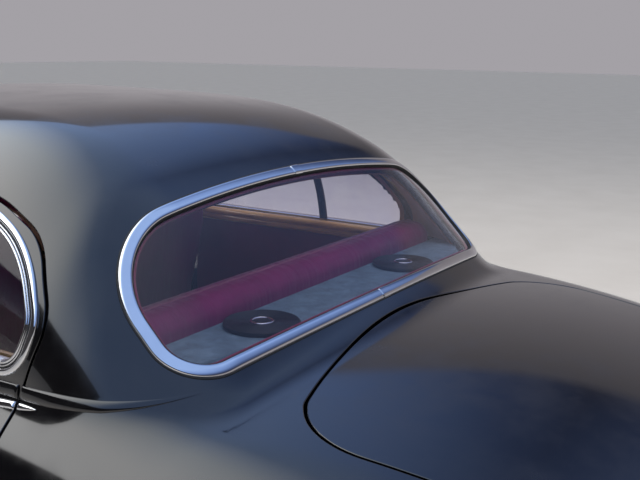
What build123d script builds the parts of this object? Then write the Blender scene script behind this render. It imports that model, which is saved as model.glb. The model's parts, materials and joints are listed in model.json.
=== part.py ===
from build123d import *
from math import cos, hypot, radians, sin, sqrt
import os

os.makedirs("parts", exist_ok=True)

# Rear window section of a classic sedan body, from the centre posts to the tail.
# X points to the car's right, Y to its front and Z up. Y is zero at the foot of the
# rear window, and Z is zero on the lower edge of the sills.

# Driving sizes of the shell, in millimetres
front_cut = 1220
wall = 38
overrun = 60
panel_gap = 5
seam = 0.3
edge_slope = 0.1
edge_level = 715
side_inner = 420
side_outer = 900
roof_joint = 945
post_start = 1070
post_recess = 42
post_top_recess = 12
sill_top = 84
sill_start = 345
tail_front = -1120
tail_top = 330
shroud_half = 460
shroud_rear = -240
shroud_low = 560

# Cabin roof: station, height and half width of the section, radius of its shoulder
roof_rows = (
    (-250, 390, 700, 94),
    (0, 670, 727, 258),
    (60, 737, 727, 286),
    (120, 806, 727, 310),
    (170, 862, 727, 328),
    (220, 909, 727, 343),
    (270, 948, 726, 352),
    (330, 981, 724, 360),
    (410, 1013, 724, 368),
    (520, 1041, 726, 376),
    (680, 1059, 727, 380),
    (900, 1067, 729, 383),
    (front_cut, 1072, 732, 385),
)
roof_crown = 5000
roof_side = 4800
roof_base = 270
roof_foot = 180
room_half = 672
room_shoulder = 612
boot_front = 190
lining_thickness = 5
lining_edge = 14

# Wings and tail: station, height and half width of the section, radius of its shoulder
wing_rows = (
    (-1220, 190, 600, 92),
    (-1185, 262, 628, 134),
    (-1140, 338, 659, 180),
    (-1080, 402, 688, 212),
    (-1000, 450, 712, 233),
    (-890, 490, 737, 251),
    (-740, 532, 765, 269),
    (-540, 576, 791, 275),
    (-300, 610, 811, 250),
    (0, 627, 822, 205),
    (400, 632, 829, 185),
    (front_cut, 632, 835, 185),
)
wing_crown = 7500
wing_side = 7000
wing_base = 60

# Rear window: its plane and the middle line of its bright surround
window_foot = 670
window_lean = 48.4
window_half = 600
window_low = 2
window_high = 336
window_fall = 49
low_corner = 120
high_corner = 180
prism_out = 60
prism_in = 240
bright_width = 24
bright_stand = 6
bright_lap = 4
seal_width = 16
seal_depth = 14
glass_depth = 4
glass_thickness = 5
cover_length = 26
cover_stand = 1.5
cover_lap = 1

# Boot lid: plan of its outline
lid_front = -40
lid_half = 572
lid_bow = 112
lid_tail = -1165
lid_tail_half = 470
lid_corner = 105
lid_tail_level = 300
lid_tail_slope = 0.36
lid_floor = -100
lid_roof = 900
hinge_place = 60
hinge_length = 40
hinge_radius = 1.6
hinge_leaf = 1.2
hinge_drop = 2.5
leaf_drop = 20

# Rear door: side outline as corner, height and corner radius
door_front = 1100
door_rows = (
    (door_front, 70, 40),
    (400, 70, 90),
    (325, 330, 500),
    (302, 600, 260),
    (257, 735, 92),
    (331, 862, 160),
    (470, 925, 300),
    (door_front, 960, 60),
)
frame_width = 38
rail_height = 655
light_corner = 58
divider_place = 600
divider_width = 17
door_glass_depth = 14
trim_thickness = 9
trim_edge = 26
wood_height = 42
wood_thickness = 15
frame_lip = 16
frame_stand = 3
channel_width = 9
channel_depth = 26
flange = 12
core_edge = 12

# Rear wheel arch, its inner house and its cover
wheel_place = -105
wheel_height = 10
arch_radius = 332
house_radius = 372
house_wall = 8
house_inner = 512
spat_sink = 3
spat_plate = 8
spat_rim = 20

# Floor, seat pan, boot floor and bulkhead
floor_height = 34
sheet = 12
heel_place = 840
heel_slope = 20
pan_height = 232
pan_half = 655
bulkhead_foot = 360
boot_floor = 196
boot_step = 60
boot_end = -1120

# Shelf, speakers and seats
shelf_top = 655
shelf_thickness = 14
shelf_front = 182
speaker_place = 295
speaker_station = 106
speaker_radius = 75
speaker_height = 13
back_half = 612
back_top = 708
back_depth = 92
back_knee = 330
back_knee_height = 610
back_foot = 470
back_radii = (6, 30, 40, 44, 120, 24)
cushion_half = 640
cushion_front = 880
cushion_height = 150
cushion_round = 42

# Lamps and handles
lamp_place = 575
lamp_height = 236
lamp_radius = 40
lamp_stand = 26
lamp_rear = -1185
lamp_front = -1000
handle_radius = 7
handle_post = 5
handle_length = 118
handle_station = 420
handle_height = 520
handle_place = 827
lever_station = 500
lever_height = 520
lever_length = 92
lever_reach = 26
lid_handle_station = -1085
lid_handle_length = 150
lid_handle_reach = 30

# Door hinges on the recessed centre post
door_hinge_x = 808
door_hinge_y = 1128
door_hinge_heights = (190, 400)
barrel_radius = 8
barrel_length = 60
hinge_plate = 6


def circle_pair(top, half, base, crown, shoulder, side):
    """Centre of the shoulder arc, which touches both the crown and the side arc."""
    crown_z = top - crown
    side_x = half - side
    span = hypot(side_x, base - crown_z)
    crown_reach = crown - shoulder
    side_reach = side - shoulder
    along = (crown_reach**2 - side_reach**2 + span**2) / (2 * span)
    across = sqrt(crown_reach**2 - along**2)
    ux, uz = side_x / span, (base - crown_z) / span
    return ux * along + uz * across, crown_z + uz * along - ux * across


def toward(centre, point, radius):
    """Point on the circle about centre, in the direction of the given point."""
    dx, dz = point[0] - centre[0], point[1] - centre[1]
    size = hypot(dx, dz)
    return centre[0] + dx / size * radius, centre[1] + dz / size * radius


def section(y, top, half, base, foot, crown, shoulder, side):
    """Closed outline across the body: crown, shoulder and side arcs in tangents."""
    middle = circle_pair(top, half, base, crown, shoulder, side)
    crown_centre = (0, top - crown)
    side_centre = (half - side, base)
    high = toward(crown_centre, middle, crown)
    low = toward(side_centre, middle, side)
    bend = toward(middle, (high[0] + low[0] - middle[0], high[1] + low[1] - middle[1]), shoulder)
    flank = toward(side_centre, ((low[0] + half) / 2, (low[1] + base) / 2), side)
    edges = [ThreePointArc((-high[0], y, high[1]), (0, y, top), (high[0], y, high[1]))]
    for hand in (1, -1):
        shoulder_line = [(hand * x, y, z) for x, z in (high, bend, low)]
        side_line = [(hand * x, y, z) for x, z in (low, flank, (half, base))]
        edges.append(ThreePointArc(*shoulder_line))
        edges.append(ThreePointArc(*side_line))
        edges.append(Line((hand * half, y, base), (hand * half, y, foot)))
    edges.append(Line((half, y, foot), (-half, y, foot)))
    return Face(Wire(edges))


def form(rows, inset, base, foot, crown, side):
    """Loft through the sections, each moved inwards by the inset along its normal.

    It runs on past the front cut, where the pieces made from it are trimmed.
    """
    faces = []
    for place, (y, top, half, shoulder) in enumerate(rows):
        y0, z0 = rows[max(place - 1, 0)][:2]
        y1, z1 = rows[min(place + 1, len(rows) - 1)][:2]
        run = hypot(y1 - y0, z1 - z0)
        station = y + inset * (z1 - z0) / run
        height = top - inset * (y1 - y0) / run
        faces.append(
            section(station, height, half - inset, base, foot, crown - inset, shoulder - inset, side - inset)
        )
    faces[-1] = faces[-1].moved(Location((0, overrun + inset, 0)))
    return loft(faces, ruled=True)


def cabin(inset):
    """Outer form of roof, pillars and rear window, moved inwards by the inset."""
    return form(roof_rows, inset, roof_base, roof_foot, roof_crown, roof_side)


def wings(inset):
    """Outer form of wings, boot and tail, moved inwards by the inset."""
    foot = -inset if inset > 0 else 0
    return form(wing_rows, inset, wing_base, foot, wing_crown, wing_side)


def block(x0, x1, y0, y1, z0, z1):
    """Box between two corners."""
    size = (x1 - x0, y1 - y0, z1 - z0)
    return Pos((x0 + x1) / 2, (y0 + y1) / 2, (z0 + z1) / 2) * Box(*size)


def bar(x, y, z, radius, length, direction):
    """Round bar centred on a point, along a direction."""
    return Plane(origin=(x, y, z), z_dir=direction) * Cylinder(radius, length)


def keep(shape):
    """Largest solid of a cut, as one part."""
    return Part() + max(shape.solids(), key=lambda solid: solid.volume)


def other_side(shape):
    """The same piece on the other side of the car."""
    return mirror(shape, about=Plane.YZ)


def write(shape, name):
    """One file per sub-part."""
    export_step(shape, f"parts/{name}.step")


# Window outline in its own plane, and prisms through it
window_plane = Plane(
    origin=(0, 0, window_foot),
    x_dir=(1, 0, 0),
    z_dir=(0, -sin(radians(window_lean)), cos(radians(window_lean))),
)
window_corner = window_high - window_fall
window_edges = [
    Line((-window_half, window_low), (window_half, window_low)),
    Line((window_half, window_low), (window_half, window_corner)),
    ThreePointArc((window_half, window_corner), (0, window_high), (-window_half, window_corner)),
    Line((-window_half, window_corner), (-window_half, window_low)),
]
window_face = Face(Wire(window_edges))
window_face = fillet(window_face.vertices().group_by(Axis.Y)[0], low_corner)
window_face = fillet(window_face.vertices().group_by(Axis.Y)[-1], high_corner)


def window_prism(grow):
    """Prism square to the window plane, its outline grown by the given width."""
    outline = offset(window_face, amount=grow) if grow else window_face
    placed = window_plane * outline
    normal = window_plane.z_dir
    return extrude(placed, prism_out, dir=normal) + extrude(placed, prism_in, dir=-normal)


# Boot lid outline in plan, and prisms through it; the tail edge leans out of the swing


def lid_outline(level, grow):
    """Plan of the lid at a height, its tail edge moved along the lean."""
    tail = lid_tail - (level - lid_tail_level) * lid_tail_slope
    side_front = lid_front - lid_bow
    edges = [
        ThreePointArc((-lid_half, side_front), (0, lid_front), (lid_half, side_front)),
        Line((lid_half, side_front), (lid_tail_half, tail)),
        Line((lid_tail_half, tail), (-lid_tail_half, tail)),
        Line((-lid_tail_half, tail), (-lid_half, side_front)),
    ]
    face = fillet(Face(Wire(edges)).vertices(), lid_corner)
    return Pos(0, 0, level) * (offset(face, amount=grow) if grow else face)


def lid_prism(grow):
    """Prism through the boot lid, its outline grown by the given width."""
    return loft([lid_outline(lid_floor, grow), lid_outline(lid_roof, grow)], ruled=True)


# Door outline in side view, and prisms through it
door_line = FilletPolyline(
    *[(y, z) for y, z, radius in door_rows],
    radius=[radius for y, z, radius in door_rows],
    close=True,
)
door_face = Face(Wire(door_line.edges()))
side_plane = Plane(origin=(0, 0, 0), x_dir=(0, 1, 0), z_dir=(1, 0, 0))


def side_prism(outline, grow, slope=0):
    """Prism across the car's right side; a slope narrows it towards the cabin."""
    faces = []
    for level in (side_inner, side_outer):
        amount = grow + slope * (level - edge_level)
        faces.append(side_plane.offset(level) * (offset(outline, amount=amount) if amount else outline))
    return loft(faces, ruled=True)


light_band = Pos(0, rail_height) * Rectangle(2 * front_cut, roof_joint, align=(Align.CENTER, Align.MIN))
light_face = (offset(door_face, amount=-frame_width) & light_band).faces()[0]
light_face = fillet(light_face.vertices().group_by(Axis.Y)[0], light_corner)

# Master shell of the body: skin and wall, filled out to the cabin's flat inner sides
outer_form = cabin(0) + wings(0)
shell = outer_form - (cabin(wall) + wings(wall))
shell = shell & block(-side_outer, side_outer, -2 * front_cut, front_cut, 0, 2 * roof_joint)
side_fill = block(room_half, side_outer, boot_front, front_cut, 0, room_shoulder) & wings(wall / 2)
shell = shell + side_fill + other_side(side_fill)


def across(x, y, z, radius, length):
    """Round bar along X."""
    return bar(x, y, z, radius, length, (1, 0, 0))


def layer(piece, outer, inner):
    """What a piece has between an outer and an inner form."""
    return (piece & outer) - inner


# Holes through the shell for doors and wheels
door_hole = side_prism(door_face, panel_gap, edge_slope)
house_depth = side_outer - house_inner
house_middle = (side_outer + house_inner) / 2
arch_hole = across(house_middle, wheel_place, wheel_height, arch_radius, house_depth)
house_form = across(house_middle, wheel_place, wheel_height, house_radius, house_depth)
house_hole = across(house_middle - seam, wheel_place, wheel_height, house_radius + seam, house_depth)
quarter_hole = house_hole - (wings(0) - wings(wall))
window_edge = bright_width / 2 - bright_lap
body = shell - lid_prism(panel_gap) - window_prism(-window_edge)
for hole in (door_hole, arch_hole, quarter_hole):
    body = body - hole - other_side(hole)

# Boxes that divide the body where its real panels join
below_roof = block(0, side_outer, -2 * front_cut, front_cut, 0, roof_joint)
post_zone = block(0, side_outer, post_start, front_cut, 0, roof_joint)
sill_zone = block(0, side_outer, sill_start, post_start, 0, sill_top)
tail_zone = block(-lid_tail_half, lid_tail_half, -2 * front_cut, tail_front, 0, tail_top)
shroud_zone = block(-shroud_half, shroud_half, shroud_rear, boot_front, shroud_low, window_foot + wall)
roof_panel = keep(body & block(-side_outer, side_outer, -front_cut, front_cut, roof_joint, 2 * roof_joint))
write(roof_panel, "roof_panel")
rear_shroud = keep(body & shroud_zone)
write(rear_shroud, "rear_shroud")
tail_panel = keep(body & tail_zone)
write(tail_panel, "tail_panel")
post_form = wings(post_recess) + cabin(post_top_recess)
centre_post = keep((body & post_zone) & post_form)
sill = keep(body & sill_zone)
rear_quarter = keep((body & below_roof) - post_zone - sill_zone - shroud_zone - tail_zone)
for piece, name in ((centre_post, "centre_post"), (sill, "sill"), (rear_quarter, "rear_quarter")):
    write(piece, f"{name}_right")
    write(other_side(piece), f"{name}_left")

# Wheel houses and the covers in the wheel arches
above_ground = block(-side_outer, side_outer, -front_cut, front_cut, 0, roof_joint)
boot_room = wings(wall + seam)
house_bore = house_radius - house_wall
house_gap = across(house_middle + house_wall, wheel_place, wheel_height, house_bore, house_depth)
wheel_house = keep(((house_form - house_gap) & boot_room) & above_ground)
plate_form = across(house_middle, wheel_place, wheel_height, arch_radius - panel_gap, house_depth)
rim_form = across(house_middle, wheel_place, wheel_height, arch_radius - seam, house_depth)
spat = layer(plate_form & above_ground, wings(spat_sink), wings(spat_sink + spat_rim))
spat = spat + layer(rim_form & above_ground, wings(spat_sink + spat_plate), wings(spat_sink + spat_rim))
spat = keep(spat)
for piece, name in ((wheel_house, "wheel_house"), (spat, "wheel_cover")):
    write(piece, f"{name}_right")
    write(other_side(piece), f"{name}_left")

# Floor: one pressed sheet with heel board, seat pan and raised boot floor
heel_top = heel_place - heel_slope
step_rear = bulkhead_foot - boot_step
sheet_top = [
    (front_cut, floor_height),
    (heel_place, floor_height),
    (heel_top, pan_height),
    (bulkhead_foot, pan_height),
    (step_rear, boot_floor),
    (boot_end, boot_floor),
]
sheet_shift = (0, sheet, sheet, 0, 0, 0)
sheet_under = [(y - shift, z - sheet) for (y, z), shift in zip(sheet_top, sheet_shift)]


def across_body(points, half, radii=0):
    """Side profile given as station and height, carried across the body."""
    line = FilletPolyline(*points, radius=radii, close=True) if radii else Polyline(*points, close=True)
    face = side_plane * Face(Wire(line.edges()))
    return extrude(face, half, dir=(1, 0, 0)) + extrude(face, half, dir=(-1, 0, 0))


lined_room = cabin(wall + seam)
clear_half = room_half - seam
cabin_zone = block(-clear_half, clear_half, -2 * front_cut, front_cut, 0, roof_joint)
floor_form = across_body(sheet_top + sheet_under[::-1], side_outer)
boot_zone = block(-side_outer, side_outer, -2 * front_cut, boot_front - seam, 0, roof_joint)
floor_pan = (floor_form & boot_room & boot_zone) + (floor_form & boot_room & cabin_zone)
pan_zone = block(pan_half, side_outer, step_rear, heel_place, floor_height, pan_height)
pan_side = block(
    pan_half - sheet, pan_half, bulkhead_foot, heel_top - sheet, floor_height - sheet, pan_height
)
floor_pan = floor_pan - pan_zone - other_side(pan_zone) - house_hole - other_side(house_hole)
write(keep(floor_pan + pan_side + other_side(pan_side)), "floor_pan")

# Bulkhead behind the seat, parcel shelf on top of it and the two speakers
shelf_low = shelf_top - shelf_thickness
bulkhead_line = [
    (bulkhead_foot, pan_height + seam),
    (shelf_front, shelf_low - seam),
    (shelf_front - sheet, shelf_low - seam),
    (bulkhead_foot - sheet, pan_height + seam),
]
bulkhead = across_body(bulkhead_line, clear_half) & (boot_room + lined_room)
write(keep(bulkhead), "seat_bulkhead")
shelf_zone = block(-side_outer, side_outer, -boot_front, shelf_front, shelf_low, shelf_top)
write(keep(shelf_zone & lined_room), "parcel_shelf")
speaker_low = shelf_top + seam
speaker_line = Polyline(
    (0, speaker_low),
    (speaker_radius, speaker_low),
    (speaker_radius, speaker_low + speaker_height / 2),
    (speaker_radius - speaker_height / 2, speaker_low + speaker_height),
    (speaker_radius - 2 * speaker_height, speaker_low + speaker_height / 2),
    (speaker_radius / 3, speaker_low + speaker_height / 2),
    (0, speaker_low + speaker_height),
    close=True,
)
speaker = revolve(Plane.XZ * Face(Wire(speaker_line.edges())), Axis.Z)
write(Part() + [Pos(hand * speaker_place, speaker_station, 0) * speaker for hand in (1, -1)], "speakers")

# Rear seat
back_line = [
    (bulkhead_foot + seam, pan_height + seam),
    (shelf_front + seam, shelf_low),
    (shelf_front + seam, back_top),
    (shelf_front + seam + back_depth, back_top),
    (back_knee, back_knee_height),
    (back_foot, pan_height + seam),
]
write(across_body(back_line, back_half, back_radii), "rear_seat_back")
cushion_low = pan_height + seam
cushion_rear = back_foot + seam
cushion = block(
    -cushion_half, cushion_half, cushion_rear, cushion_front, cushion_low, cushion_low + cushion_height
)
cushion = fillet(cushion.edges().filter_by(Axis.X).group_by(Axis.Z)[-1], cushion_round)
write(cushion, "rear_seat_cushion")

# Rear window: surround in two halves with a cover over each joint, rubber and glass
band = window_prism(bright_width / 2) - window_prism(-bright_width / 2)
skin = cabin(0)
cover_zone = block(-cover_length / 2, cover_length / 2, -front_cut, front_cut, 0, 2 * roof_joint)
bright = layer(band, cabin(-bright_stand), skin)
half_zone = block(cover_length / 2 + seam, side_outer, -front_cut, front_cut, 0, 2 * roof_joint)
bright_right = keep(bright & half_zone)
write(bright_right, "window_bright_right")
write(other_side(bright_right), "window_bright_left")
cover_edge = bright_width / 2 + cover_lap
cover_band = (window_prism(cover_edge) - window_prism(-cover_edge)) & cover_zone
write(layer(cover_band, cabin(-bright_stand - cover_stand), skin), "bright_joint_covers")
glass_edge = window_edge + seal_width / 2
seal_band = window_prism(-window_edge - seam) - window_prism(-window_edge - seal_width)
seal_solid = layer(seal_band, cabin(seam), cabin(seal_depth))
glass_back = glass_depth + glass_thickness
slot = layer(window_prism(-glass_edge + seam), cabin(glass_depth - seam), cabin(glass_back + seam))
write(seal_solid - slot, "rear_window_seal")
write(layer(window_prism(-glass_edge), cabin(glass_depth), cabin(glass_back)), "rear_window_glass")

# Roof lining, from the shelf up to the roof and round the windows
lining_zone = block(-side_outer, side_outer, -front_cut, front_cut, shelf_top + seam, 2 * roof_joint)
lining_zone = lining_zone - window_prism(-window_edge)
lining_hole = side_prism(door_face, lining_edge, 0)
lining_zone = lining_zone - lining_hole - other_side(lining_hole)
write(keep(layer(lining_zone, lined_room, cabin(wall + seam + lining_thickness))), "roof_lining")

# Boot lid with its handle, on two strap hinges in its front gap
def height_at(rows, y):
    """Height of a form's middle line at a station, between two sections."""
    for (y0, z0, *rest0), (y1, z1, *rest1) in zip(rows, rows[1:]):
        if y0 <= y <= y1:
            return z0 + (z1 - z0) * (y - y0) / (y1 - y0)


def bow_at(x):
    """How far the lid's front edge has fallen back at a distance from the middle."""
    radius = (lid_half**2 + lid_bow**2) / (2 * lid_bow)
    return radius - sqrt(radius**2 - x**2)


write(keep(shell & lid_prism(0)), "boot_lid")
lid_seat = lid_front - bow_at(hinge_place - hinge_length / 2)
shroud_seat = lid_front + panel_gap - bow_at(hinge_place + hinge_length / 2)
hinge_y = (lid_seat + shroud_seat) / 2
hinge_z = height_at(wing_rows, hinge_y) - hinge_drop
knuckle = hinge_length / 3
leaf_low = hinge_z - leaf_drop
half_leaf = hinge_length / 2
lid_leaf = block(-half_leaf, half_leaf, lid_seat, lid_seat + hinge_leaf, leaf_low, hinge_z)
shroud_leaf = block(-half_leaf, half_leaf, shroud_seat - hinge_leaf, shroud_seat, leaf_low, hinge_z)
notch_low = hinge_z - hinge_radius - seam
notch = block(-knuckle / 2, knuckle / 2, -front_cut, front_cut, notch_low, 2 * hinge_z)
end_notch = block(knuckle / 2 - seam, hinge_length, -front_cut, front_cut, notch_low, 2 * hinge_z)
lid_hinge = lid_leaf - end_notch - other_side(end_notch)
lid_hinge = lid_hinge + across(0, hinge_y, hinge_z, hinge_radius, knuckle - 2 * seam)
shroud_hinge = shroud_leaf - notch
for end in (1, -1):
    shroud_hinge = shroud_hinge + across(end * knuckle, hinge_y, hinge_z, hinge_radius, knuckle)
places = [Pos(hand * hinge_place, 0, 0) for hand in (1, -1)]
write(Part() + [place * lid_hinge for place in places], "lid_hinges")
write(Part() + [place * shroud_hinge for place in places], "lid_hinge_seats")
lid_surface = height_at(wing_rows, lid_handle_station)
grip = across(0, lid_handle_station, lid_surface + lid_handle_reach, handle_radius, lid_handle_length)
for hand in (1, -1):
    post_x = hand * lid_handle_length / 3
    grip = grip + bar(post_x, lid_handle_station, lid_surface, handle_post, 2 * lid_handle_reach, (0, 0, 1))
write(keep(grip - wings(-seam)), "lid_handle")

# Tail lamps: a round body with a domed lens
lamp_middle = (lamp_front + lamp_rear) / 2
lamp = bar(lamp_place, lamp_middle, lamp_height, lamp_radius, lamp_front - lamp_rear, (0, 1, 0))
dome_radius = (lamp_radius**2 + lamp_stand**2) / (2 * lamp_stand)
dome = Pos(lamp_place, lamp_rear - lamp_stand + dome_radius, lamp_height) * Sphere(dome_radius)
dome = dome & bar(lamp_place, lamp_rear, lamp_height, lamp_radius, 2 * lamp_stand, (0, 1, 0))
lamp = keep((lamp + dome) - wings(-seam))
write(Part() + [lamp, other_side(lamp)], "tail_lamps")

# Rear doors: panel, window frame with its bar, two glasses, trim, wood rail, handles, hinges
door_prism = side_prism(door_face, 0, edge_slope)
core_prism = side_prism(door_face, -core_edge, edge_slope)
rim = (door_prism - core_prism) & (cabin(flange) + wings(flange))
light_prism = side_prism(light_face, 0)
channel_prism = side_prism(light_face, -channel_width)
rail_low = rail_height - wood_height
trim_face = room_half - seam
trim_prism = side_prism(door_face, -trim_edge)
door = keep((shell & door_prism) - light_prism - rim)
lip = layer(side_prism(light_face, frame_lip) - channel_prism, cabin(-frame_stand), skin)
channel = layer(side_prism(light_face, -seam) - channel_prism, skin, cabin(channel_depth))
divider_low = divider_place - divider_width / 2
divider_high = divider_place + divider_width / 2
divider_zone = block(side_inner, side_outer, divider_low, divider_high, rail_height, roof_joint + wall)
divider = layer(light_prism & divider_zone, skin, cabin(channel_depth))
glass_prism = side_prism(light_face, -channel_width - seam)
panes = layer(glass_prism, cabin(door_glass_depth), cabin(door_glass_depth + glass_thickness))
pane_low = block(side_inner, side_outer, 0, divider_low - seam, 0, 2 * roof_joint)
pane_high = block(side_inner, side_outer, divider_high + seam, front_cut, 0, 2 * roof_joint)
trim = trim_prism & block(trim_face - trim_thickness, trim_face, 0, front_cut, 0, room_shoulder - seam)
wood_zone = block(side_inner, side_outer, 0, front_cut, rail_low, rail_height - seam)
wood = layer(trim_prism & wood_zone, lined_room, cabin(wall + seam + wood_thickness))
handle = bar(handle_place, handle_station, handle_height, handle_radius, handle_length, (0, 1, 0))
for end in (1, -1):
    handle = handle + across(
        (room_half + handle_place) / 2, handle_station + end * handle_length / 3, handle_height,
        handle_post, handle_place - room_half,
    )
lever_root = trim_face - trim_thickness - seam
lever_radius = handle_radius - 1
lever = across(lever_root - lever_reach / 2, lever_station, lever_height, 2 * lever_radius, lever_reach)
lever = lever + bar(
    lever_root - lever_reach / 2, lever_station + lever_length / 2, lever_height,
    lever_radius, lever_length, (0, 1, 0),
)
barrel_third = barrel_length / 3
door_arms = []
post_arms = []
half_plate = hinge_plate / 2
door_knuckle = barrel_third - seam
door_plate = block(
    door_hinge_x - half_plate, door_hinge_x + half_plate, door_front - wall, door_hinge_y,
    -door_knuckle / 2, door_knuckle / 2,
)
post_plate = block(
    room_half + wall, door_hinge_x, door_hinge_y - half_plate, door_hinge_y + half_plate,
    -barrel_third / 2, barrel_third / 2,
)
door_edge = side_prism(door_face, seam - core_edge, edge_slope)
post_edge = wings(post_recess - seam)
for height in door_hinge_heights:
    door_arms.append(bar(door_hinge_x, door_hinge_y, height, barrel_radius, door_knuckle, (0, 0, 1)))
    door_arms.append(Pos(0, 0, height) * door_plate - door_edge)
    for end in (1, -1):
        level = height + end * barrel_third
        post_arms.append(bar(door_hinge_x, door_hinge_y, level, barrel_radius, barrel_third, (0, 0, 1)))
        post_arms.append(Pos(0, 0, level) * post_plate - post_edge)
door_hinges = Part() + door_arms
post_hinges = Part() + post_arms
door_pieces = (
    (door, "rear_door"),
    (keep(lip + channel + divider), "door_window_frame"),
    (keep(panes & pane_low), "quarter_glass"),
    (keep(panes & pane_high), "door_glass"),
    (keep(trim), "door_trim"),
    (keep(wood), "door_wood_rail"),
    (keep(handle - wings(-seam)), "door_handle"),
    (keep(lever), "door_lever"),
    (door_hinges, "door_hinges"),
)
for piece, name in door_pieces:
    write(piece, f"{name}_right")
    write(other_side(piece), f"{name}_left")
write(Part() + [post_hinges, other_side(post_hinges)], "post_hinges")
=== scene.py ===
import json
import bpy
import numpy as np
from mathutils import Matrix, Vector


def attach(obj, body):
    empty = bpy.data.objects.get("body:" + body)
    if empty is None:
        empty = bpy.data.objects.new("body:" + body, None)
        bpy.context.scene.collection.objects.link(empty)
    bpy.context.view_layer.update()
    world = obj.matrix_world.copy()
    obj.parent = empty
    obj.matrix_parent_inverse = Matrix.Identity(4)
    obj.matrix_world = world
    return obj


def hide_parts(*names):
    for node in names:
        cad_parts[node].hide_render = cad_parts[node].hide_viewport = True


# Rear window section of a classic sedan body. X is its right, Y its front and Z up.
# Sizes are in millimetres until a mesh is made.
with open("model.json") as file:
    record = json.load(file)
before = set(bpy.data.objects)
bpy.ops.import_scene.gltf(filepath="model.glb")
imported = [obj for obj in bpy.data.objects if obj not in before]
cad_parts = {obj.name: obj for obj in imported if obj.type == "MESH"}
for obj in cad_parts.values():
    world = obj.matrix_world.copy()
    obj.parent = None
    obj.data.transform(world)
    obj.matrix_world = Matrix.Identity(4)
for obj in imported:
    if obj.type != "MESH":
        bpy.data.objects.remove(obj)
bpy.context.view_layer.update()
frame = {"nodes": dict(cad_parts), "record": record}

MM = 0.001
FAR = 1e4

# Station, height and half width of each section, radius of its shoulder
CABIN_ROWS = np.array([
    (-250, 390, 700, 94), (0, 670, 727, 258), (60, 737, 727, 286), (120, 806, 727, 310),
    (170, 862, 727, 328), (220, 909, 727, 343), (270, 948, 726, 352), (330, 981, 724, 360),
    (410, 1013, 724, 368), (520, 1041, 726, 376), (680, 1059, 727, 380), (900, 1067, 729, 383),
    (1220, 1071, 732, 385),
], float)
WING_ROWS = np.array([
    (-1220, 190, 600, 92), (-1185, 262, 628, 134), (-1140, 338, 659, 180), (-1080, 402, 688, 212),
    (-1000, 450, 712, 233), (-890, 490, 737, 251), (-740, 532, 765, 269), (-540, 576, 791, 275),
    (-300, 610, 811, 250), (0, 627, 822, 205), (400, 632, 829, 185), (1220, 632, 834.4, 185),
], float)
# Radius of the crown and side arcs, and the height where the side arc ends
CABIN_ARCS = (5000, 4800, 270)
WING_ARCS = (7500, 7000, 60)
TAIL_END, FRONT_CUT = -1220, 1220
TAIL_FACE = 200
# The line that sections are measured from: its share of the wings' height, and its lowest and highest
CORE_SHARE, CORE_LOW, CORE_HIGH = 0.5, 95, 290
FAIRING = 75
WALL = 38
# Radius of a panel's turned edge, and where the panels end at the front
EDGE = 2.0
FRONT_EDGE = FRONT_CUT - 2.8
ROOM_HALF, ROOM_REAR = 672, 195
WAIST = 612
PANEL_GAP = 5
WINDOW_HOLE = 8
EDGE_SLOPE, EDGE_LEVEL = 0.1, 715

# Window plane: its foot and lean, and the middle line of the bright surround
WINDOW_FOOT = 670
WINDOW_LEAN = np.radians(48.4)
WINDOW_ACROSS = np.array((1.0, 0, 0))
WINDOW_UP = np.array((0, np.cos(WINDOW_LEAN), np.sin(WINDOW_LEAN)))
WINDOW_OUT = np.array((0, -np.sin(WINDOW_LEAN), np.cos(WINDOW_LEAN)))
DOOR_ROWS = (
    (1100, 70, 40), (400, 70, 90), (325, 330, 500), (302, 600, 260),
    (257, 735, 92), (331, 862, 160), (470, 925, 300), (1100, 960, 60),
)
RAIL_HEIGHT = 655
WHEEL = np.array((-105.0, 10.0))
ARCH_RADIUS = 332
LIGHT_INSET, LIGHT_SOFTER = 38, 110
# How deep below the window plane its opening lies, and how far points may be from there
OPENING_DEPTH, OPENING_REACH = 90, 150
# Lid's tail edge: where its lean starts, how steep it is and the height where it comes to nothing. Then the
# height below which no part of the skin is lid
LID_TAIL_FROM, LID_TAIL_SLOPE, LID_TAIL_LEVEL, LID_LOW = -600, 0.36, 300, 150
POST_REAR, POST_TOP = 1070, 945


# Outlines

def unit(rows):
    """The same directions at length one."""
    return rows / np.linalg.norm(rows, axis=-1, keepdims=True)


def rounded(corners, step=7.0):
    """Closed outline through corners (across, up, radius): straight runs, joined by arcs in tangents."""
    places = np.array([corner[:2] for corner in corners], float)
    line = []
    for k, (x, y, radius) in enumerate(corners):
        here = places[k]
        back = places[k - 1] - here
        on = places[(k + 1) % len(corners)] - here
        back /= np.hypot(*back)
        on /= np.hypot(*on)
        half = 0.5 * np.arccos(np.clip(back @ on, -1, 1))
        start = here + back * radius / np.tan(half)
        end = here + on * radius / np.tan(half)
        middle = here + (back + on) / np.hypot(*(back + on)) * radius / np.sin(half)
        first = np.arctan2(*(start - middle)[::-1])
        turn = (np.arctan2(*(end - middle)[::-1]) - first + np.pi) % (2 * np.pi) - np.pi
        angle = first + turn * np.linspace(0, 1, max(3, int(abs(turn) * radius / step) + 2))
        line.append(middle + radius * np.stack([np.cos(angle), np.sin(angle)], 1))
    return spaced(np.concatenate(line), step)


def spaced(line, step, closed=True):
    """The same line with its points at equal steps along it."""
    if closed:
        line = np.concatenate([line, line[:1]])
    run = np.concatenate([[0], np.cumsum(np.linalg.norm(np.diff(line, axis=0), axis=1))])
    count = int(round(run[-1] / step))
    at = np.linspace(0, run[-1], count + 1)
    even = np.stack([np.interp(at, run, line[:, k]) for k in range(line.shape[1])], 1)
    return even[:-1] if closed else even


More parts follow.
